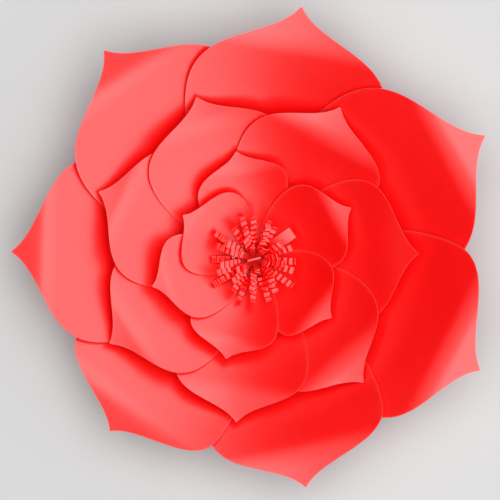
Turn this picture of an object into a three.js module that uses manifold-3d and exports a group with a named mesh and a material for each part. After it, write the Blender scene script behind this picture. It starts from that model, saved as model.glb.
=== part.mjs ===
// Layered paper flower decoration: three rings of cupped petals round a crimped fringe, on a card disc.
// It lies face up on the card. Millimetres, +Z along the flower's axis, origin in the middle of the back.
import * as THREE from "three";
import { mergeVertices } from "three/addons/utils/BufferGeometryUtils.js";
import Module from "manifold-3d";

const wasm = await Module();
wasm.setup();

// Sheets, the gap between sheets, and how close two corners of a mesh are taken as one
const PETAL_PAPER = 0.6;
const FRINGE_PAPER = 0.35;
const CLEARANCE = 0.3;
const SAME_CORNER = 1e-4;

// Card disc behind the petals
const CARD_RADIUS = 55;
const CARD_THICKNESS = 1.5;
const CARD_SIDES = 64;

// Fringe: stars of crimped strips, stapled together through their hubs. Each layer has its own slope and
// number of folds, which are half crimps. Its hub is smaller than the one below by HUB_RADIUS_STEP, down to
// HUB_RADIUS. A strip arches over: from its root to its end its slope falls by ARCH, half of it above the
// layer's. It also twists about its length, by up to TWIST where it points along TWIST_TURN or away from it,
// and not at all square to that. FOLDS_VARY, SLOPE_VARIES and TURN_VARIES are how far strips differ, by a
// wave that goes on by UNEVEN_BY_STRIP and UNEVEN_BY_LAYER. The layer with a tag has one flat strip of that
// width, not crimped.
const FRINGE_X = -0.5;
const FRINGE_Y = -0.9;
const STRIP_WIDTH = 4.2;
const FOLDS_VARY = 1;
const CRIMP_PITCH = 3.7;
const CRIMP_DEPTH = 0.9;
const ARCH = 36;
const TWIST = 42;
const TWIST_TURN = 80;
const SLOPE_VARIES = 2.5;
const TURN_VARIES = 3;
const UNEVEN_BY_STRIP = 2.4;
const UNEVEN_BY_LAYER = 1.7;
const HUB_RADIUS = 5;
const HUB_RADIUS_STEP = 0.7;
const HUB_SIDES = 32;
const FRINGE_LAYERS = [
  { strips: 10, folds: 12, slope: 24, turn: 35, tag: 7.5 },
  { strips: 10, folds: 12, slope: 36, turn: 18 },
  { strips: 9, folds: 11, slope: 47, turn: 28 },
  { strips: 7, folds: 9, slope: 61, turn: 9 },
  { strips: 6, folds: 6, slope: 70, turn: 41 },
];

// Staple through the hubs. Its crown stands off the top hub by CROWN_RISE.
const STAPLE_LENGTH = 8.8;
const STAPLE_TURN = 14;
const WIRE_WIDTH = 1.3;
const WIRE_THICKNESS = 0.6;
const CLINCH_LENGTH = 3;
const CROWN_RISE = 1.2;

// Petal outline, common to all rings: how the edge swells from the root to the shoulder, as shares of that
// stretch, and how it sweeps from the shoulder into the pointed tip, as shares of that one.
const ROOT_RUN = 0.35;
const ROOT_SWELL = 0.65;
const BELLY_RUN = 0.3;
const SHOULDER_RUN = 0.62;
const NECK_RUN = 0.4;
const NECK_WIDTH = 0.25;
const TIP_HALF_WIDTH = 0.5;
const SHOULDER_ROW = 0.45;
const ROWS_ALONG = 10;
const ROWS_ACROSS = 6;

// Petal rings, from the back to the front. A petal goes out to reach from the axis, and its half-width is
// width at the distance shoulder along it. start is the turn of the first petal's place, and root the radius
// where the sheets begin. They lie flat up to tab, and from there bend up by slope more than the ring below,
// over the length bend. The last stretch, tip, is curled back by curl, over the length tipBend.
// One sheet stands over the next by spread more at the reach than at the axis. climb and lean share that step
// out between whole petals and the slant of each: a ring that closes on itself only leans, and one that winds
// up as a spiral also climbs.
// The petals are listed clockwise, and each lies over the one before it. turn is the direction of its tip,
// counter-clockwise from +X. The rest are the hand-cut differences, as multiples of the ring's sizes: reach,
// the half-widths lead on the counter-clockwise side, which lies on top, and trail on the other, and the
// shoulders of those two sides, leadAt and trailAt. A petal curled otherwise than its ring has its own curl.
const OUTER = {
  name: "outer_petal",
  reach: 155,
  width: 59,
  shoulder: 101,
  start: 127,
  climb: 0,
  lean: 1,
  root: 10,
  tab: 12,
  bend: 100,
  slope: 28,
  spread: 3.5,
  tip: 30,
  tipBend: 16,
  curl: 34,
  petals: [
    { turn: 126, reach: 1.03, lead: 1.01, leadAt: 0.95, trail: 1.03, trailAt: 1.04 },
    { turn: 79.5, reach: 1.025, lead: 1.05, leadAt: 0.98, trail: 1.07, trailAt: 1.02 },
    { turn: 28, reach: 1.045, lead: 1.085, leadAt: 0.94, trail: 1.03, trailAt: 1 },
    { turn: -26.5, reach: 1.01, lead: 1.085, leadAt: 1.07, trail: 0.95, trailAt: 1.03 },
    { turn: -77.5, reach: 0.945, lead: 0.99, leadAt: 1.03, trail: 0.9, trailAt: 0.99 },
    { turn: -130, reach: 0.91, lead: 0.94, leadAt: 1.01, trail: 0.93, trailAt: 1.03 },
    { turn: 178.5, reach: 0.98, lead: 0.94, leadAt: 0.95, trail: 1.02, trailAt: 1 },
  ],
};
const MIDDLE = {
  name: "middle_petal",
  below: OUTER,
  reach: 105,
  width: 43,
  shoulder: 66,
  start: 108,
  climb: 0,
  lean: 1,
  root: 10,
  tab: 12,
  bend: 12,
  slope: 6,
  spread: 2,
  tip: 26,
  tipBend: 14,
  curl: 30,
  petals: [
    { turn: 110, reach: 1.02, lead: 1.06, leadAt: 0.985, trail: 1, trailAt: 1.015 },
    { turn: 60.5, reach: 1.03, lead: 1.035, leadAt: 0.955, trail: 1.06, trailAt: 1.105 },
    { turn: 1.5, reach: 0.975, lead: 1.115, leadAt: 0.97, trail: 0.975, trailAt: 0.94, curl: 0.3 },
    { turn: -49, reach: 0.985, lead: 0.965, leadAt: 0.91, trail: 0.93, trailAt: 1.015 },
    { turn: -96.5, reach: 0.985, lead: 0.955, leadAt: 1, trail: 0.975, trailAt: 1.075 },
    { turn: -149.5, reach: 1.005, lead: 0.975, leadAt: 0.97, trail: 1, trailAt: 1.03 },
    { turn: 157, reach: 1.01, lead: 1.01, leadAt: 0.955, trail: 0.975, trailAt: 1.06 },
  ],
};
const INNER = {
  name: "inner_petal",
  below: MIDDLE,
  reach: 64,
  width: 28,
  shoulder: 40,
  start: 90,
  climb: 0.5,
  lean: 0.5,
  root: STAPLE_LENGTH / 2 + WIRE_WIDTH / 2 + Math.hypot(FRINGE_X, FRINGE_Y) + CLEARANCE,
  tab: 12,
  bend: 12,
  slope: 7,
  spread: 2.2,
  tip: 15,
  tipBend: 8,
  curl: 28,
  petals: [
    { turn: 100, reach: 1.06, lead: 1.035, leadAt: 1.025, trail: 1.035, trailAt: 1.15 },
    { turn: 27.5, reach: 1.06, lead: 1.035, leadAt: 1, trail: 1, trailAt: 1.05 },
    { turn: -38, reach: 0.955, lead: 0.965, leadAt: 0.85, trail: 0.98, trailAt: 1.025 },
    { turn: -106, reach: 1.025, lead: 0.945, leadAt: 1.05, trail: 1.02, trailAt: 1.15 },
    { turn: -164.5, reach: 1.04, lead: 0.98, leadAt: 0.975, trail: 0.965, trailAt: 1.1 },
    { turn: 149.5, reach: 0.82, lead: 1, leadAt: 0.775, trail: 1.035, trailAt: 0.725 },
  ],
};

const paperRed = () => new THREE.MeshStandardMaterial({ color: 0xf3282c, roughness: 0.6, metalness: 0 });
const cardRed = () => new THREE.MeshStandardMaterial({ color: 0xd8262a, roughness: 0.8, metalness: 0 });
const staplePink = () => new THREE.MeshStandardMaterial({ color: 0xe8989a, roughness: 0.35, metalness: 0.8 });

const radians = THREE.MathUtils.degToRad;
const mix = THREE.MathUtils.lerp;
const wrapTurn = (degrees) => THREE.MathUtils.euclideanModulo(degrees + 180, 360) - 180;

// Height from one sheet of a ring to the next over it.
function stepAt(ring, radius) {
  return PETAL_PAPER + CLEARANCE + ring.spread * THREE.MathUtils.smoothstep(radius, 0, ring.reach);
}

// Rise of paper that is bent up by some degrees over a length, at a distance past the start of the bend.
function bentRise(past, length, degrees) {
  const run = Math.max(past, 0);
  const straight = run > length ? run - length / 2 : run ** 2 / (2 * length);
  return straight * Math.tan(radians(degrees));
}

// Lowest height of a ring's sheets: clear of everything under it, plus its own rise.
function floorAt(ring, radius) {
  const under = ring.below ? ceilingAt(ring.below, radius) : CARD_THICKNESS;
  return under + CLEARANCE + bentRise(radius - ring.tab, ring.bend, ring.slope);
}

// Top of a ring's highest sheet, before the tips curl.
function ceilingAt(ring, radius) {
  const steps = ring.climb * (ring.petals.length - 1) + 2 * ring.lean;
  return floorAt(ring, radius) + steps * stepAt(ring, radius) + PETAL_PAPER;
}

// Height of a petal's underside over a point of the plan.
function petalHeight(ring, index, x, y) {
  const spacing = 360 / ring.petals.length;
  const { turn, reach, curl = 1 } = ring.petals[index];
  const radius = Math.hypot(x, y);
  const fromTip = wrapTurn(THREE.MathUtils.radToDeg(Math.atan2(y, x)) - turn);
  const fromPlace = fromTip + wrapTurn(turn - ring.start + index * spacing);
  const steps = ring.climb * index + ring.lean * (1 + fromPlace / spacing);
  const along = x * Math.cos(radians(turn)) + y * Math.sin(radians(turn));
  const dropped = bentRise(along - reach * (ring.reach - ring.tip), ring.tipBend, curl * ring.curl);
  return floorAt(ring, radius) + steps * stepAt(ring, radius) - dropped;
}

// Thickness of a sheet measured upright, which grows with its slope.
function uprightThickness(ring, index, x, y) {
  const step = PETAL_PAPER / 2;
  const riseX = petalHeight(ring, index, x + step, y) - petalHeight(ring, index, x - step, y);
  const riseY = petalHeight(ring, index, x, y + step) - petalHeight(ring, index, x, y - step);
  return Math.hypot(PETAL_PAPER, riseX, riseY);
}

// One edge of a petal from root to tip, as a function of the share of its rows. Its own sizes are multiples
// of the ring's.
function petalEdge(ring, ownReach, ownWidth, ownShoulder) {
  const reach = ownReach * ring.reach;
  const width = ownWidth * ring.width;
  const at = ownShoulder * ring.shoulder;
  const point = (along, across) => new THREE.Vector2(along, across);
  const root = point(ring.root, 0).rotateAround(point(0, 0), (2 * Math.PI) / ring.petals.length);
  const rise = at - root.x;
  const sweep = reach - at;
  const belly = new THREE.CubicBezierCurve(
    root,
    point(root.x + ROOT_RUN * rise, mix(root.y, width, ROOT_SWELL)),
    point(at - BELLY_RUN * rise, width),
    point(at, width),
  );
  const tip = new THREE.CubicBezierCurve(
    point(at, width),
    point(at + SHOULDER_RUN * sweep, width),
    point(reach - NECK_RUN * sweep, NECK_WIDTH * width),
    point(reach, TIP_HALF_WIDTH),
  );
  return (row) =>
    row < SHOULDER_ROW
      ? belly.getPoint(row / SHOULDER_ROW)
      : tip.getPoint((row - SHOULDER_ROW) / (1 - SHOULDER_ROW));
}

// A petal: a thin block whose rows run between the two edges, bent to the petal's heights.
function petalGeometry(ring, index) {
  const { turn, reach, lead, leadAt, trail, trailAt } = ring.petals[index];
  const leadEdge = petalEdge(ring, reach, lead, leadAt);
  const trailEdge = petalEdge(ring, reach, trail, trailAt);
  const block = bare(new THREE.BoxGeometry(1, 1, 1, ROWS_ACROSS, ROWS_ALONG, 1));
  const places = block.getAttribute("position");
  for (let i = 0; i < places.count; i++) {
    const row = places.getY(i) + 0.5;
    const a = leadEdge(row);
    const b = trailEdge(row);
    const share = 0.5 - places.getX(i);
    const radius = mix(b.length(), a.length(), share);
    const angle = radians(turn) + mix(-b.angle(), a.angle(), share);
    const x = radius * Math.cos(angle);
    const y = radius * Math.sin(angle);
    const top = places.getZ(i) > 0 ? uprightThickness(ring, index, x, y) : 0;
    places.setXYZ(i, x, y, petalHeight(ring, index, x, y) + top);
  }
  return block;
}

// A geometry with its corners shared and nothing but positions.
function bare(geometry) {
  const plain = geometry.clone();
  plain.deleteAttribute("normal");
  plain.deleteAttribute("uv");
  return mergeVertices(plain, SAME_CORNER);
}

function solid(geometry) {
  const shared = bare(geometry);
  return new wasm.Manifold(
    new wasm.Mesh({
      numProp: 3,
      vertProperties: new Float32Array(shared.getAttribute("position").array),
      triVerts: new Uint32Array(shared.index.array),
    }),
  );
}

function geometryOf(body) {
  const mesh = body.getMesh();
  const geometry = new THREE.BufferGeometry();
  geometry.setAttribute("position", new THREE.BufferAttribute(mesh.vertProperties, 3));
  geometry.setIndex(new THREE.BufferAttribute(mesh.triVerts, 1));
  return geometry;
}

function hubRadius(index) {
  return HUB_RADIUS + (FRINGE_LAYERS.length - 1 - index) * HUB_RADIUS_STEP;
}

// The lowest hub lies on the inner petals, whose first stretch is straight and so a little higher than their
// curve there. The staple's clinched ends reach down between the petals' roots.
const FRINGE_EDGE = hubRadius(0) + Math.hypot(FRINGE_X, FRINGE_Y);
const FRINGE_SEAT = ceilingAt(INNER, FRINGE_EDGE) + 2 * CLEARANCE;
const LAYER_STEP = FRINGE_PAPER + CLEARANCE;
const FRINGE_HEIGHT = (FRINGE_LAYERS.length - 1) * LAYER_STEP + FRINGE_PAPER;

// Directions along a strip and across it, before it is turned to its place.
const OUTWARD = new THREE.Vector3(1, 0, 0);
const SIDEWAYS = new THREE.Vector3(0, 1, 0);

// A strip: a thin block with a row for each fold. It lies flat in the hub, and from there its rows go to and
// fro across a line that rises at the slope and arches over, and turn about that line.
function stripGeometry(hub, slope, folds, twist, width, crimp) {
  const line = [new THREE.Vector3(hub, 0, 0)];
  const slopeAt = (fold) => radians(slope + ARCH * (0.5 - fold / folds));
  for (let fold = 1; fold <= folds; fold++) {
    const ahead = new THREE.Vector3(CRIMP_PITCH / 2, 0, 0).applyAxisAngle(SIDEWAYS, -slopeAt(fold));
    line.push(ahead.add(line[fold - 1]));
  }
  const block = bare(new THREE.BoxGeometry(1, 1, 1, 1, folds + 1, 1));
  const places = block.getAttribute("position");
  for (let i = 0; i < places.count; i++) {
    const fold = Math.round((places.getY(i) + 0.5) * (folds + 1)) - 1;
    const spot = new THREE.Vector3(0, -places.getX(i) * width, FRINGE_PAPER * places.getZ(i));
    if (fold > 0) {
      spot.z += (fold % 2 ? crimp : -crimp) / 2;
      spot.applyAxisAngle(OUTWARD, radians(twist) * THREE.MathUtils.smoothstep(fold, 0, folds));
      spot.applyAxisAngle(SIDEWAYS, -slopeAt(fold)).add(line[fold]);
    } else {
      spot.x = fold < 0 ? hub / 2 : hub;
    }
    places.setXYZ(i, spot.x, spot.y, spot.z);
  }
  return block;
}

// The two slots that the staple's legs pass through.
function legSlots() {
  const wide = WIRE_WIDTH + 2 * CLEARANCE;
  const thick = WIRE_THICKNESS + 2 * CLEARANCE;
  const height = FRINGE_PAPER + 2 * CLEARANCE;
  return [-1, 1].map((side) =>
    new THREE.BoxGeometry(thick, wide, height)
      .translate((side * (STAPLE_LENGTH - WIRE_THICKNESS)) / 2, 0, 0)
      .rotateZ(radians(STAPLE_TURN)),
  );
}

function fringeLayerGeometry(layer, index) {
  const hub = hubRadius(index);
  let body = solid(new THREE.CylinderGeometry(hub, hub, FRINGE_PAPER, HUB_SIDES).rotateX(Math.PI / 2));
  for (let k = 0; k < layer.strips; k++) {
    const isTag = k === 0 && layer.tag;
    const wave = UNEVEN_BY_STRIP * k + UNEVEN_BY_LAYER * index;
    const turn = radians(layer.turn + (360 * k) / layer.strips + TURN_VARIES * Math.sin(2 * wave));
    const slope = layer.slope + SLOPE_VARIES * Math.sin(wave);
    const folds = layer.folds + Math.round(FOLDS_VARY * Math.cos(wave));
    const twist = TWIST * Math.cos(turn - radians(TWIST_TURN));
    const strip = isTag
      ? stripGeometry(hub, slope, folds, 0, layer.tag, 0)
      : stripGeometry(hub, slope, folds, twist, STRIP_WIDTH, CRIMP_DEPTH);
    body = body.add(solid(strip.rotateZ(turn)));
  }
  for (const slot of legSlots()) {
    body = body.subtract(solid(slot));
  }
  return geometryOf(body);
}

// Staple, seen from its side: crown on top, two legs down through the hubs, ends clinched inwards below.
function stapleGeometry() {
  const half = STAPLE_LENGTH / 2;
  const inside = half - WIRE_THICKNESS;
  const crownFoot = FRINGE_HEIGHT + CROWN_RISE;
  const clinchTop = -CLEARANCE;
  const outline = [
    [half - CLINCH_LENGTH, clinchTop - WIRE_THICKNESS],
    [half, clinchTop - WIRE_THICKNESS],
    [half, crownFoot + WIRE_THICKNESS],
    [-half, crownFoot + WIRE_THICKNESS],
    [-half, clinchTop - WIRE_THICKNESS],
    [CLINCH_LENGTH - half, clinchTop - WIRE_THICKNESS],
    [CLINCH_LENGTH - half, clinchTop],
    [-inside, clinchTop],
    [-inside, crownFoot],
    [inside, crownFoot],
    [inside, clinchTop],
    [half - CLINCH_LENGTH, clinchTop],
  ];
  const shape = new THREE.Shape(outline.map(([x, z]) => new THREE.Vector2(x, z)));
  return new THREE.ExtrudeGeometry(shape, { depth: WIRE_WIDTH, bevelEnabled: false })
    .translate(0, 0, -WIRE_WIDTH / 2)
    .rotateX(Math.PI / 2)
    .rotateZ(radians(STAPLE_TURN));
}

const flower = new THREE.Group();

function addPiece(name, geometry, material, parent = flower) {
  const piece = new THREE.Mesh(geometry, material);
  piece.name = name;
  parent.add(piece);
  return piece;
}

const card = new THREE.CylinderGeometry(CARD_RADIUS, CARD_RADIUS, CARD_THICKNESS, CARD_SIDES);
card.rotateX(Math.PI / 2);
addPiece("card_disc", card, cardRed()).position.z = CARD_THICKNESS / 2;

for (const ring of [OUTER, MIDDLE, INNER]) {
  ring.petals.forEach((_, index) => {
    addPiece(`${ring.name}_${index + 1}`, petalGeometry(ring, index), paperRed());
  });
}

const fringe = new THREE.Group();
fringe.position.set(FRINGE_X, FRINGE_Y, FRINGE_SEAT);
flower.add(fringe);
FRINGE_LAYERS.forEach((layer, index) => {
  const piece = addPiece(`fringe_layer_${index + 1}`, fringeLayerGeometry(layer, index), paperRed(), fringe);
  piece.position.z = index * LAYER_STEP + FRINGE_PAPER / 2;
});
addPiece("staple", stapleGeometry(), staplePink(), fringe);

export default flower;
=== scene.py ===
import math
from types import SimpleNamespace

import bmesh
import bpy
from mathutils import Matrix, Vector


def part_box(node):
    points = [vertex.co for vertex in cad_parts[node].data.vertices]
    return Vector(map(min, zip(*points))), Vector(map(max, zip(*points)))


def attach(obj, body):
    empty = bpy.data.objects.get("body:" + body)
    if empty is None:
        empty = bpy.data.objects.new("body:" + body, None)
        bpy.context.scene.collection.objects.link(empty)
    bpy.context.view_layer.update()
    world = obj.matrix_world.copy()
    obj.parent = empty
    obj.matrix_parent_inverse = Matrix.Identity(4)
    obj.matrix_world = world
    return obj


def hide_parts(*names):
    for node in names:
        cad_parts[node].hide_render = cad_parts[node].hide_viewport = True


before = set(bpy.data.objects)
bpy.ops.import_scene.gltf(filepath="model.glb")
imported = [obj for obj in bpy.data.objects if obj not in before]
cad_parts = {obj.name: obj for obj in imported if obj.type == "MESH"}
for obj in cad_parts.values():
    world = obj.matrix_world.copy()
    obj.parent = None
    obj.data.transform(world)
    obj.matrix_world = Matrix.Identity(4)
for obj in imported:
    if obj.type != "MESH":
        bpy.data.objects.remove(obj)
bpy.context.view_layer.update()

# View
# The camera looks straight down into the open flower from far off, with the top of the picture along +Y.
# The flower's axis stands a little right of the middle of the picture and a little below it.
MM = 0.001
PICTURE_SIDE = 500
PIXEL = 0.625 * MM
AXIS_PIXEL = (255, 258)
RIM_HEIGHT = 38 * MM
VIEW_DISTANCE = 1.9
SENSOR_WIDTH = 36

lens = bpy.data.cameras.new("camera")
lens.sensor_width = SENSOR_WIDTH
lens.lens = SENSOR_WIDTH * VIEW_DISTANCE / (PICTURE_SIDE * PIXEL)
camera = bpy.data.objects.new("camera", lens)
camera.location = (
    (PICTURE_SIDE / 2 - AXIS_PIXEL[0]) * PIXEL,
    (AXIS_PIXEL[1] - PICTURE_SIDE / 2) * PIXEL,
    RIM_HEIGHT + VIEW_DISTANCE,
)
bpy.context.scene.collection.objects.link(camera)
bpy.context.scene.camera = camera

# Card disc
# A round of thick red card, cut with a compass blade, behind everything else. The petals' tabs are glued
# to its front, and its back goes flat against the wall.
CARD_RED = (0.50, 0.010, 0.010)
CARD_CORE = (0.42, 0.10, 0.085)
CARD_FIBRES = 420
CARD_FIBRE_DETAIL = 5
CARD_BLOTS = 60
CARD_BLOT_DETAIL = 3
CARD_ROUGHNESS = 0.78
CARD_ROUGHNESS_VARIES = 0.12
CARD_RELIEF = 0.2 * MM
CARD_RELIEF_STRENGTH = 0.3
CARD_SHEEN = 0.3
CARD_SEGMENTS = 160
CARD_EDGE_ROUND = 0.25 * MM
EDGE_STEPS = 3
FINER_LAYER = 0.6
CREASE_ANGLE = 40


class Tone:
    """A value or colour over a surface: one output of a material's nodes, with arithmetic on it."""

    # Places of the two colours among a Mix node's inputs, and of the mixed colour among its outputs.
    LOW_COLOUR = 6
    HIGH_COLOUR = 7
    MIXED_COLOUR = 2

    def __init__(self, socket):
        self.socket = socket

    def node(self, kind, settings, sockets, result=0):
        """A new node of the same material: its settings, its sockets' values or links, and one result."""
        tree = self.socket.id_data
        made = tree.nodes.new(kind)
        for name, value in settings.items():
            setattr(made, name, value)
        for name, value in sockets.items():
            if isinstance(value, Tone):
                tree.links.new(value.socket, made.inputs[name])
            else:
                made.inputs[name].default_value = value
        return Tone(made.outputs[result])

    def math(self, operation, first, second):
        return self.node("ShaderNodeMath", {"operation": operation}, {0: first, 1: second})

    def __add__(self, other):
        return self.math("ADD", self, other)

    def __mul__(self, other):
        return self.math("MULTIPLY", self, other)

    __radd__ = __add__
    __rmul__ = __mul__

    def blend(self, low, high):
        """The colour low where this value is 0 and high where it is 1. Either may vary over the surface."""
        sockets = {0: self}
        for place, colour in ((self.LOW_COLOUR, low), (self.HIGH_COLOUR, high)):
            sockets[place] = colour if isinstance(colour, Tone) else (*colour, 1)
        return self.node("ShaderNodeMix", {"data_type": "RGBA"}, sockets, self.MIXED_COLOUR)

    def noise(self, patches, detail):
        """Cloudy variation from 0 to 1 over these coordinates, with so many patches to the metre."""
        sockets = {"Vector": self, "Scale": patches, "Detail": detail, "Roughness": FINER_LAYER}
        return self.node("ShaderNodeTexNoise", {}, sockets)

    def attribute(self, name):
        """A value that the mesh itself holds at its points."""
        return self.node("ShaderNodeAttribute", {"attribute_name": name}, {}, "Fac")

    def emboss(self, shader, relief, strength):
        """Relief on the surface, so many metres high where this value is 1."""
        sockets = {"Strength": strength, "Distance": relief, "Height": self}
        self.node("ShaderNodeBump", {}, sockets).feed(shader, "Normal")

    def feed(self, shader, name):
        self.socket.id_data.links.new(self.socket, shader.inputs[name])


def surface(name):
    """A new material with its shader and the coordinates of the object, in metres."""
    material = bpy.data.materials.new(name)
    material.use_nodes = True
    shader = material.node_tree.nodes["Principled BSDF"]
    place = Tone(shader.outputs["BSDF"]).node("ShaderNodeTexCoord", {}, {}, "Object")
    return material, shader, place


def piece(name, mesh, material, node):
    """A finished piece of the flower, standing for the solid named."""
    data = bpy.data.meshes.new(name)
    mesh.to_mesh(data)
    mesh.free()
    data.shade_smooth()
    data.set_sharp_from_angle(angle=math.radians(CREASE_ANGLE))
    data.materials.append(material)
    made = bpy.data.objects.new(name, data)
    bpy.context.scene.collection.objects.link(made)
    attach(made, "root")
    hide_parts(node)
    return made


def thicken(mesh, vec):
    """Draws all faces of a flat mesh out along a vector, as a closed body."""
    drawn = bmesh.ops.extrude_face_region(mesh, geom=mesh.faces[:])["geom"]
    bmesh.ops.translate(mesh, vec=vec, verts=[v for v in drawn if isinstance(v, bmesh.types.BMVert)])
    bmesh.ops.recalc_face_normals(mesh, faces=mesh.faces)


def round_edges(mesh, edges, radius):
    bmesh.ops.bevel(
        mesh, geom=edges, offset=radius, segments=EDGE_STEPS, profile=0.5, affect="EDGES", material=-1
    )


card_paint, shader, place = surface("card")
fibre = place.noise(CARD_FIBRES, CARD_FIBRE_DETAIL)
blot = place.noise(CARD_BLOTS, CARD_BLOT_DETAIL)
(fibre * 0.5 + blot * 0.5).blend(CARD_RED, CARD_CORE).feed(shader, "Base Color")
(CARD_ROUGHNESS + fibre * CARD_ROUGHNESS_VARIES).feed(shader, "Roughness")
fibre.emboss(shader, CARD_RELIEF, CARD_RELIEF_STRENGTH)
shader.inputs["Specular IOR Level"].default_value = CARD_SHEEN

card_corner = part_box("card_disc")[1]
card = bmesh.new()
bmesh.ops.create_circle(card, cap_ends=True, radius=card_corner.x, segments=CARD_SEGMENTS)
thicken(card, (0, 0, card_corner.z))
rims = [e for e in card.edges if abs(e.verts[0].co.z - e.verts[1].co.z) < CARD_EDGE_ROUND]
round_edges(card, rims, CARD_EDGE_ROUND)
piece("card", card, card_paint, "card_disc")

# Outer petals
# Seven pointed petals of smooth red craft paper, cut with a craft knife, cupped by hand over a rod, and
# curled back at the tip. Each is glued to the card by its root and lies over the one before it, clockwise.
PAPER = 0.6 * MM
SHEET_GAP = 0.3 * MM
CARD_TOP = card_corner.z
PETAL_RED = (0.98, 0.0005, 0.0005)
# The cut edges are paler: partly the paper's lighter cut core, partly a painted highlight where they catch
# the light.
PETAL_CUT_EDGE_AND_HIGHLIGHT = (0.92, 0.040, 0.040)
CUT_EDGE_WIDTH = 0.7 * MM
PAPER_FIBRES = 900
PAPER_FIBRE_DETAIL = 4
PAPER_CLOUDS = 45
PAPER_CLOUD_DETAIL = 3
CLOUD_SHADE = 0.86
FIBRE_ROUGHNESS = 0.06
ROOT_ROUGHNESS = 0.4
PAPER_RELIEF = 0.15 * MM
PAPER_RELIEF_STRENGTH = 0.15
COLUMNS = 44
ROWS = 72

# The edge of a petal is two curves, from the root to the shoulder and from there to the tip. A run is a
# share of a curve's length along the petal, the swell and the neck are shares of the half-width, and the
# tip's own half-width is in millimetres.
SHOULDER_ROW = 0.45
ROOT_RUN = 0.35
ROOT_SWELL = 0.65
BELLY_RUN = 0.3
SHOULDER_RUN = 0.62
NECK_RUN = 0.4
NECK_WIDTH = 0.25
TIP_HALF_WIDTH = 0.5

# A ring's sizes, in millimetres and degrees: the reach, half-width and shoulder (the widest place) of its
# petals, the radius of their roots, and the direction of the first place. Counted in steps from sheet to
# sheet, climb is how far each petal lies above the one before it, and lean is how far a petal rises over
# one place round the ring. Spread is the room added to a step at the rim. Past the tab the paper bends up
# to the slope, and at the tip it curls back.
# Each petal: the direction of its tip and then, as multiples of the ring's sizes, its reach, the
# half-width and shoulder of its counter-clockwise side, those of the other side, and the curl of its tip.
outer = SimpleNamespace(
    below=None, reach=155, width=59, shoulder=101, root=10, start=127, climb=0, lean=1, spread=3.5,
    tab=12, bend=100, slope=28, tip=30, tip_bend=16, curl=34,
    petals=[
        (126, 1.03, 1.01, 0.95, 1.03, 1.04, 1),
        (79.5, 1.025, 1.05, 0.98, 1.07, 1.02, 1),
        (28, 1.045, 1.085, 0.94, 1.03, 1, 1),
        (-26.5, 1.01, 1.085, 1.07, 0.95, 1.03, 1),
        (-77.5, 0.945, 0.99, 1.03, 0.9, 0.99, 1),
        (-130, 0.91, 0.94, 1.01, 0.93, 1.03, 1),
        (178.5, 0.98, 0.94, 0.95, 1.02, 1, 1),
    ],
)


def ease(x, start, end):
    """0 before start, 1 after end, and a smooth change between them."""
    share = min(max((x - start) / (end - start), 0), 1)
    return share * share * (3 - 2 * share)


def step_at(ring, radius):
    """Height from one sheet of a ring to the next one over it, in millimetres like the ring's sizes."""
    return (PAPER + SHEET_GAP) / MM + ring.spread * ease(radius, 0, ring.reach)


def bent(past, bend, degrees):
    """Rise of paper bent up by some degrees, at a distance past the start of the bend."""
    run = max(past, 0)
    return math.tan(math.radians(degrees)) * (run - bend / 2 if run > bend else run * run / (2 * bend))


def floor_at(ring, radius):
    """Lowest height of a ring's sheets."""
    under = ceiling_at(ring.below, radius) if ring.below else CARD_TOP / MM
    return under + SHEET_GAP / MM + bent(radius - ring.tab, ring.bend, ring.slope)


def ceiling_at(ring, radius):
    """Top of a ring's highest sheet, before the tips curl."""
    steps = ring.climb * (len(ring.petals) - 1) + 2 * ring.lean
    return floor_at(ring, radius) + steps * step_at(ring, radius) + PAPER / MM


def wrap(degrees):
    """The same direction, from -180 to 180."""
    return (degrees + 180) % 360 - 180


def petal_height(ring, index, x, y):
    """Height of a petal's underside over a point of the plan."""
    spacing = 360 / len(ring.petals)
    turn, reach, *_, curl = ring.petals[index]
    radius = math.hypot(x, y)
    from_tip = wrap(math.degrees(math.atan2(y, x)) - turn)
    from_place = from_tip + wrap(turn - ring.start + index * spacing)
    steps = ring.climb * index + ring.lean * (1 + from_place / spacing)
    along = x * math.cos(math.radians(turn)) + y * math.sin(math.radians(turn))
    dropped = bent(along - reach * (ring.reach - ring.tip), ring.tip_bend, curl * ring.curl)
    return floor_at(ring, radius) + steps * step_at(ring, radius) - dropped


def bezier(a, b, c, d, t):
    s = 1 - t
    return s**3 * a + 3 * s * s * t * b + 3 * s * t * t * c + t**3 * d


def petal_edge(ring, own_reach, own_width, own_shoulder, row):
    """A point of an edge, along the petal and off its middle line. Row is 0 at the root, 1 at the tip."""
    reach = own_reach * ring.reach
    width = own_width * ring.width
    shoulder = own_shoulder * ring.shoulder
    spacing = 2 * math.pi / len(ring.petals)
    root_x = ring.root * math.cos(spacing)
    root_y = ring.root * math.sin(spacing)
    if row < SHOULDER_ROW:
        t = row / SHOULDER_ROW
        rise = shoulder - root_x
        swollen = root_y + ROOT_SWELL * (width - root_y)
        along = bezier(root_x, root_x + ROOT_RUN * rise, shoulder - BELLY_RUN * rise, shoulder, t)
        return along, bezier(root_y, swollen, width, width, t)
    t = (row - SHOULDER_ROW) / (1 - SHOULDER_ROW)
    sweep = reach - shoulder
    along = bezier(shoulder, shoulder + SHOULDER_RUN * sweep, reach - NECK_RUN * sweep, reach, t)
    return along, bezier(width, width, NECK_WIDTH * width, TIP_HALF_WIDTH, t)


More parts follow.
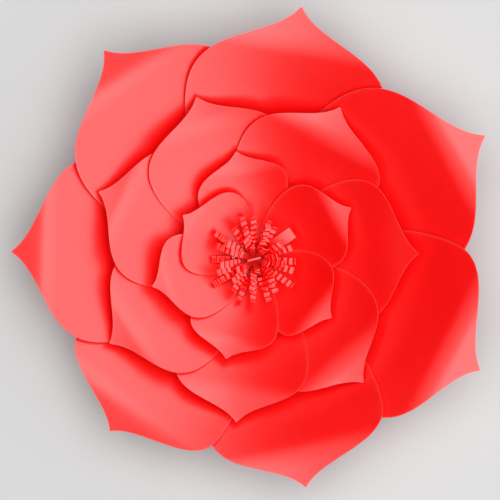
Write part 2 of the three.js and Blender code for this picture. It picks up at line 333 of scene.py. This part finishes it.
def petal(ring, index):
    """A flat grid of paper, finer at its sides, bent to the petal's plan and heights and made thick."""
    turn, reach, lead, lead_shoulder, trail, trail_shoulder, _ = ring.petals[index]
    sheet = bmesh.new()
    bmesh.ops.create_grid(sheet, x_segments=COLUMNS, y_segments=ROWS, size=0.5)
    wear_and_highlight = sheet.verts.layers.float.new("wear_and_highlight")
    for v in sheet.verts:
        row = v.co.y + 0.5
        share = 0.5 + 0.5 * math.sin(-math.pi * v.co.x)
        lead_x, lead_y = petal_edge(ring, reach, lead, lead_shoulder, row)
        trail_x, trail_y = petal_edge(ring, reach, trail, trail_shoulder, row)
        radius = share * math.hypot(lead_x, lead_y) + (1 - share) * math.hypot(trail_x, trail_y)
        to_lead = math.atan2(lead_y, lead_x)
        to_trail = -math.atan2(trail_y, trail_x)
        angle = math.radians(turn) + share * to_lead + (1 - share) * to_trail
        inside = min(share, 1 - share) * (lead_y + trail_y) * MM
        # Paler near each edge: partly the lighter cut core, partly a painted highlight.
        v[wear_and_highlight] = math.exp(-inside / CUT_EDGE_WIDTH)
        x = radius * math.cos(angle)
        y = radius * math.sin(angle)
        v.co = Vector((x, y, petal_height(ring, index, x, y))) * MM
    sheet.normal_update()
    bmesh.ops.solidify(sheet, geom=sheet.faces[:], thickness=-PAPER)
    bmesh.ops.recalc_face_normals(sheet, faces=sheet.faces)
    return sheet


def paper_paint(name, colour, wear_and_highlight_colour, root_shade_colour, refraction, sheen, roughness):
    """Dyed craft paper: a soft sheen, faint fibres and clouding, paler with wear and painted highlight,
    and at the root rougher and in the root colour, a painted shade.
    """
    material, shader, place = surface(name)
    fibre = place.noise(PAPER_FIBRES, PAPER_FIBRE_DETAIL)
    cloud = place.noise(PAPER_CLOUDS, PAPER_CLOUD_DETAIL)
    wear_and_highlight = place.attribute("wear_and_highlight")
    shaded_root = place.attribute("shaded_root")
    clouded = cloud.blend([CLOUD_SHADE * part for part in colour], colour)
    # Base colour: paler with wear and painted highlight, and at the root the root colour, a painted shade.
    shaded_root.blend(wear_and_highlight.blend(clouded, wear_and_highlight_colour), root_shade_colour).feed(shader, "Base Color")
    (roughness + fibre * FIBRE_ROUGHNESS + shaded_root * ROOT_ROUGHNESS).feed(shader, "Roughness")
    fibre.emboss(shader, PAPER_RELIEF, PAPER_RELIEF_STRENGTH)
    shader.inputs["IOR"].default_value = refraction
    shader.inputs["Specular IOR Level"].default_value = sheen
    return material


petal_paint = paper_paint(
    "petal_paper", PETAL_RED, PETAL_CUT_EDGE_AND_HIGHLIGHT, PETAL_RED, refraction=1.9, sheen=1.0, roughness=0.30
)
for i in range(len(outer.petals)):
    piece(f"outer_sheet_{i + 1}", petal(outer, i), petal_paint, f"outer_petal_{i + 1}")

# Middle petals
# Seven smaller petals of the same paper, glued by their roots on top of the outer ring's. They stand
# steeper, and their tips are curled back too, apart from the one on the right, which is nearly straight.
middle = SimpleNamespace(
    below=outer, reach=105, width=43, shoulder=66, root=10, start=108, climb=0, lean=1, spread=2,
    tab=12, bend=12, slope=6, tip=26, tip_bend=14, curl=30,
    petals=[
        (110, 1.02, 1.06, 0.985, 1, 1.015, 1),
        (60.5, 1.03, 1.035, 0.955, 1.06, 1.105, 1),
        (1.5, 0.975, 1.115, 0.97, 0.975, 0.94, 0.3),
        (-49, 0.985, 0.965, 0.91, 0.93, 1.015, 1),
        (-96.5, 0.985, 0.955, 1, 0.975, 1.075, 1),
        (-149.5, 1.005, 0.975, 0.97, 1, 1.03, 1),
        (157, 1.01, 1.01, 0.955, 0.975, 1.06, 1),
    ],
)
for i in range(len(middle.petals)):
    piece(f"middle_sheet_{i + 1}", petal(middle, i), petal_paint, f"middle_petal_{i + 1}")

# Inner petals
# Six small petals of the same paper. They are glued as a spiral, each higher than the one before it, so the
# last lies over both its neighbours. Their roots leave a hole for the staple's ends.
inner = SimpleNamespace(
    below=middle, reach=64, width=28, shoulder=40, root=6.23, start=90, climb=0.5, lean=0.5, spread=2.2,
    tab=12, bend=12, slope=7, tip=15, tip_bend=8, curl=28,
    petals=[
        (100, 1.06, 1.035, 1.025, 1.035, 1.15, 1),
        (27.5, 1.06, 1.035, 1, 1, 1.05, 1),
        (-38, 0.955, 0.965, 0.85, 0.98, 1.025, 1),
        (-106, 1.025, 0.945, 1.05, 1.02, 1.15, 1),
        (-164.5, 1.04, 0.98, 0.975, 0.965, 1.1, 1),
        (149.5, 0.82, 1, 0.775, 1.035, 0.725, 1),
    ],
)
for i in range(len(inner.petals)):
    piece(f"inner_sheet_{i + 1}", petal(inner, i), petal_paint, f"inner_petal_{i + 1}")

# Fringe
# Five stacked stars of thinner, shinier red paper, the steepest on top. Each was cut into narrow strips,
# crimped in a zigzag, bent up from the dull hub, and arched over and twisted. The hub and the strips' roots
# are painted dark red as shade, and near the strips' ends the fold crests are paler, partly worn and partly
# painted highlight. One strip of the lowest star is a wide flat tag, with painted highlight towards its
# end.
FRINGE_RED = (1.0, 0.0005, 0.0005)
# Painted shade: the dark red of the hub and the strips' roots, deep in the fringe.
FRINGE_ROOT_SHADE = (0.36, 0.0, 0.0)
# Paler along the fold crests near the strips' ends: partly worn folds, partly painted highlight.
FRINGE_WEAR_AND_HIGHLIGHT = (1.0, 0.118, 0.118)
FRINGE_CENTRE = Vector((-0.5, -0.9)) * MM
FRINGE_PAPER = 0.35 * MM
STRIP_WIDTH = 4.2 * MM
STRIP_COLUMNS = 4
TAG_WIDTH = 7.5 * MM
FOLD_LENGTH = 1.85 * MM
FOLD_ROWS = 4
FOLD_SHARPNESS = 0.985
CRIMP_DEPTH = 0.9 * MM
CRIMP_GROWS = 0.5
ARCH = 36
TWIST = 42
TWIST_TURN = 80
SLOPE_VARIES = 2.5
TURN_VARIES = 3
UNEVEN_BY_STRIP = 2.4
UNEVEN_BY_STAR = 1.7
# The painted shade at the strips' roots eases out over so many folds.
SHADED_FOLDS = 3
# The paler wear and painted highlight begin at this fold and keep to this near each crest.
PALE_FIRST_FOLD = 2
PALE_CREST = 0.25
HUB_RADIUS = 5 * MM
HUB_STEP = 0.7 * MM
HUB_SEGMENTS = 48
HUB_INLET = 0.5
HUB_INLET_DROP = FRINGE_PAPER / 20
# How much the hub's painted shade lightens towards each strip.
HUB_LIGHTENS = 0.6
# Strips, folds in a strip, slope, and direction of the first strip, for each star from the lowest up.
STARS = [(10, 12, 24, 35), (10, 12, 36, 18), (9, 11, 47, 28), (7, 9, 61, 9), (6, 6, 70, 41)]


def strip(hub, slope, folds, twist, width, crimp):
    """One strip along +X: flat in the hub, then a zigzag along a line that arches over, and twisted."""
    line = [Vector((hub, 0, 0))]
    for row in range(folds * FOLD_ROWS):
        tilt = math.radians(slope + ARCH * (0.5 - (row // FOLD_ROWS + 1) / folds))
        line.append(line[-1] + Vector((math.cos(tilt), 0, math.sin(tilt))) * FOLD_LENGTH / FOLD_ROWS)
    paper = bmesh.new()
    rows = (folds + 1) * FOLD_ROWS
    bmesh.ops.create_grid(paper, x_segments=rows, y_segments=STRIP_COLUMNS, size=0.5)
    wear_and_highlight = paper.verts.layers.float.new("wear_and_highlight")
    shaded_root = paper.verts.layers.float.new("shaded_root")
    for v in paper.verts:
        row = round((v.co.x + 0.5) * rows) - FOLD_ROWS
        fold = row / FOLD_ROWS
        # Painted shade at the root, easing out over the first folds.
        v[shaded_root] = 1 - ease(fold, 0, SHADED_FOLDS)
        if fold < 0:
            v.co = (hub * (1 + HUB_INLET * fold), v.co.y * width, -HUB_INLET_DROP)
            continue
        wave = math.asin(FOLD_SHARPNESS * math.sin(math.pi * (fold - 0.5))) / (math.pi / 2)
        # Paler near the end along the crests: partly worn folds, partly painted highlight. The flat tag is
        # paler all across towards its end, as painted highlight.
        crest = ease(wave, PALE_CREST, 1) if crimp else 1
        v[wear_and_highlight] = crest * ease(fold, PALE_FIRST_FOLD, folds)
        spot = Vector((0, v.co.y * width, crimp / 2 * wave * min(fold / CRIMP_GROWS, 1)))
        spot.rotate(Matrix.Rotation(math.radians(twist) * ease(fold, 0, folds), 3, "X"))
        tilt = math.radians(slope + ARCH * (0.5 - fold / folds))
        spot.rotate(Matrix.Rotation(-tilt * min(fold, 1), 3, "Y"))
        v.co = line[row] + spot
    paper.normal_update()
    for v in paper.verts:
        v.co -= v.normal * FRINGE_PAPER / 2
    bmesh.ops.solidify(paper, geom=paper.faces[:], thickness=-FRINGE_PAPER)
    return paper


def star(index, strips, folds, slope, first_turn):
    """A star of the fringe: its round hub, painted dark as shade but a little lighter towards each strip,
    and the strips.
    """
    hub = HUB_RADIUS + (len(STARS) - 1 - index) * HUB_STEP
    whole = bmesh.new()
    whole.verts.layers.float.new("wear_and_highlight")
    shaded_root = whole.verts.layers.float.new("shaded_root")
    bmesh.ops.create_circle(whole, cap_ends=True, cap_tris=True, radius=hub, segments=HUB_SEGMENTS)
    bmesh.ops.translate(whole, vec=(0, 0, -FRINGE_PAPER / 2), verts=whole.verts)
    # Painted shade over the hub, lighter towards each strip and towards the rim.
    for v in whole.verts:
        around = math.atan2(v.co.y, v.co.x) - math.radians(first_turn)
        towards_strip = 0.5 + 0.5 * math.cos(strips * around)
        v[shaded_root] = 1 - HUB_LIGHTENS * towards_strip * v.co.xy.length / hub
    bmesh.ops.solidify(whole, geom=whole.faces[:], thickness=-FRINGE_PAPER)
    for face in whole.faces:
        face.material_index = 1
    for k in range(strips):
        uneven = UNEVEN_BY_STRIP * k + UNEVEN_BY_STAR * index
        own_slope = slope + SLOPE_VARIES * math.sin(uneven)
        own_folds = folds + round(math.cos(uneven))
        turn = math.radians(first_turn + 360 * k / strips + TURN_VARIES * math.sin(2 * uneven))
        twist = TWIST * math.cos(turn - math.radians(TWIST_TURN))
        if index == 0 and k == 0:
            one = strip(hub, own_slope, own_folds, 0, TAG_WIDTH, 0)
        else:
            one = strip(hub, own_slope, own_folds, twist, STRIP_WIDTH, CRIMP_DEPTH)
        bmesh.ops.rotate(one, matrix=Matrix.Rotation(turn, 3, "Z"), verts=one.verts)
        data = bpy.data.meshes.new("strip")
        one.to_mesh(data)
        one.free()
        whole.from_mesh(data)
        bpy.data.meshes.remove(data)
    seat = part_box(f"fringe_layer_{index + 1}")[0].z
    bmesh.ops.translate(whole, vec=(*FRINGE_CENTRE, seat + FRINGE_PAPER / 2), verts=whole.verts)
    bmesh.ops.recalc_face_normals(whole, faces=whole.faces)
    return whole


fringe_paint = paper_paint(
    "fringe_paper", FRINGE_RED, FRINGE_WEAR_AND_HIGHLIGHT, FRINGE_ROOT_SHADE, refraction=1.75, sheen=1.0, roughness=0.16
)
# The hubs' duller paper takes the same painted shade at its middle.
hub_paint = paper_paint(
    "fringe_hub", FRINGE_RED, FRINGE_RED, FRINGE_ROOT_SHADE, refraction=1.4, sheen=0.3, roughness=0.30
)
for i, star_sizes in enumerate(STARS):
    mesh = star(i, *star_sizes)
    made = piece(f"fringe_star_{i + 1}", mesh, fringe_paint, f"fringe_layer_{i + 1}")
    made.data.materials.append(hub_paint)

# Staple
# One small wire staple pushed down through the stars' hubs. Its crown lies across the middle of the fringe,
# and its two ends are clinched inwards underneath.
WIRE_PINK = (1.0, 0.13, 0.13)
WIRE_PALE = (1.0, 0.143, 0.143)
WIRE_GRAIN = 700
WIRE_GRAIN_DETAIL = 3
WIRE_ROUGHNESS = 0.30
WIRE_ROUGHNESS_VARIES = 0.15
WIRE_METALLIC = 0.2
STAPLE_LENGTH = 8.8 * MM
STAPLE_TURN = 14
WIRE_WIDTH = 1.3 * MM
WIRE = 0.6 * MM
CLINCH = 3 * MM
WIRE_ROUND = 0.18 * MM

wire_paint, shader, place = surface("staple_wire")
drawn = place.noise(WIRE_GRAIN, WIRE_GRAIN_DETAIL)
drawn.blend(WIRE_PINK, WIRE_PALE).feed(shader, "Base Color")
(WIRE_ROUGHNESS + drawn * WIRE_ROUGHNESS_VARIES).feed(shader, "Roughness")
shader.inputs["Metallic"].default_value = WIRE_METALLIC

low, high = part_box("staple")
half = STAPLE_LENGTH / 2
inside = half - WIRE
end = half - CLINCH
side = [
    (end, low.z), (half, low.z), (half, high.z), (-half, high.z), (-half, low.z), (-end, low.z),
    (-end, low.z + WIRE), (-inside, low.z + WIRE), (-inside, high.z - WIRE),
    (inside, high.z - WIRE), (inside, low.z + WIRE), (end, low.z + WIRE),
]
wire = bmesh.new()
wire.faces.new([wire.verts.new((x, -WIRE_WIDTH / 2, z)) for x, z in side])
thicken(wire, (0, WIRE_WIDTH, 0))
round_edges(wire, wire.edges[:], WIRE_ROUND)
bmesh.ops.rotate(wire, matrix=Matrix.Rotation(math.radians(STAPLE_TURN), 3, "Z"), verts=wire.verts)
bmesh.ops.translate(wire, vec=(*FRINGE_CENTRE, 0), verts=wire.verts)
piece("staple_wire", wire, wire_paint, "staple")

# Floor
# A plain pale grey table top, far larger than the flower, which lies on it with the card's back down.
# Far off it fades away, so that no horizon shows in low views.
FLOOR_GREY = (0.51, 0.51, 0.51)
FLOOR_ROUGHNESS = 0.9
FLOOR_SHEEN = 0.0
FLOOR_HALF = 2.0
FLOOR_DROP = 0.2 * MM
FLOOR_FADE_START = 0.6
FLOOR_FADE_END = 1.8

floor_paint, shader, place = surface("floor")
shader.inputs["Base Color"].default_value = (*FLOOR_GREY, 1)
shader.inputs["Roughness"].default_value = FLOOR_ROUGHNESS
shader.inputs["Specular IOR Level"].default_value = FLOOR_SHEEN
away = place.node("ShaderNodeVectorMath", {"operation": "LENGTH"}, {0: place}, "Value")
fade_range = {"Value": away, "From Min": FLOOR_FADE_START, "From Max": FLOOR_FADE_END}
fade = place.node("ShaderNodeMapRange", {"interpolation_type": "SMOOTHSTEP"}, fade_range)
nothing = place.node("ShaderNodeBsdfTransparent", {}, {})
top = place.node("ShaderNodeMixShader", {}, {0: fade, 1: Tone(shader.outputs["BSDF"]), 2: nothing})
top.feed(floor_paint.node_tree.nodes["Material Output"], "Surface")
table = bmesh.new()
bmesh.ops.create_grid(table, x_segments=1, y_segments=1, size=FLOOR_HALF)
bmesh.ops.translate(table, vec=(0, 0, -FLOOR_DROP), verts=table.verts)
table_data = bpy.data.meshes.new("floor")
table.to_mesh(table_data)
table.free()
table_data.materials.append(floor_paint)
floor = bpy.data.objects.new("floor", table_data)
bpy.context.scene.collection.objects.link(floor)

# Light
# A large soft box stands to the right and a little towards the viewer, and gives the petals their pale
# sheen. A wide ceiling light fills the shadows without showing in the sheen.
KEY_AZIMUTH = -2
KEY_ELEVATION = 37
KEY_DISTANCE = 1.1
KEY_WIDTH = 4.0
KEY_HEIGHT = 2.6
KEY_WATTS = 28
FILL_HEIGHT = 3.0
FILL_SIDE = 4.0
FILL_WATTS = 150
ROOM_GREY = 0.68


def softbox(name, azimuth, elevation, distance, width, height, watts):
    """A rectangular lamp that faces the origin and isn't seen itself."""
    lamp = bpy.data.lights.new(name, "AREA")
    lamp.shape = "RECTANGLE"
    lamp.size = width
    lamp.size_y = height
    lamp.energy = watts
    level = math.cos(math.radians(elevation))
    towards = Vector((
        level * math.cos(math.radians(azimuth)),
        level * math.sin(math.radians(azimuth)),
        math.sin(math.radians(elevation)),
    ))
    made = bpy.data.objects.new(name, lamp)
    made.location = towards * distance
    made.rotation_euler = towards.to_track_quat("Z", "Y").to_euler()
    made.visible_camera = False
    bpy.context.scene.collection.objects.link(made)
    return made


softbox("key_light", KEY_AZIMUTH, KEY_ELEVATION, KEY_DISTANCE, KEY_WIDTH, KEY_HEIGHT, KEY_WATTS)
fill = softbox(
    "fill_light", azimuth=0, elevation=90, distance=FILL_HEIGHT,
    width=FILL_SIDE, height=FILL_SIDE, watts=FILL_WATTS,
)
fill.visible_glossy = False

# The room behind the floor is a plain grey that gives no light and doesn't show in the paper's sheen.
room = bpy.data.worlds.new("room")
room.use_nodes = True
background = room.node_tree.nodes["Background"]
background.inputs["Color"].default_value = (1, 1, 1, 1)
seen = Tone(background.outputs["Background"]).node("ShaderNodeLightPath", {}, {}, "Is Camera Ray")
(seen * ROOM_GREY).feed(background, "Strength")
bpy.context.scene.world = room
bpy.context.scene.view_settings.view_transform = "Standard"
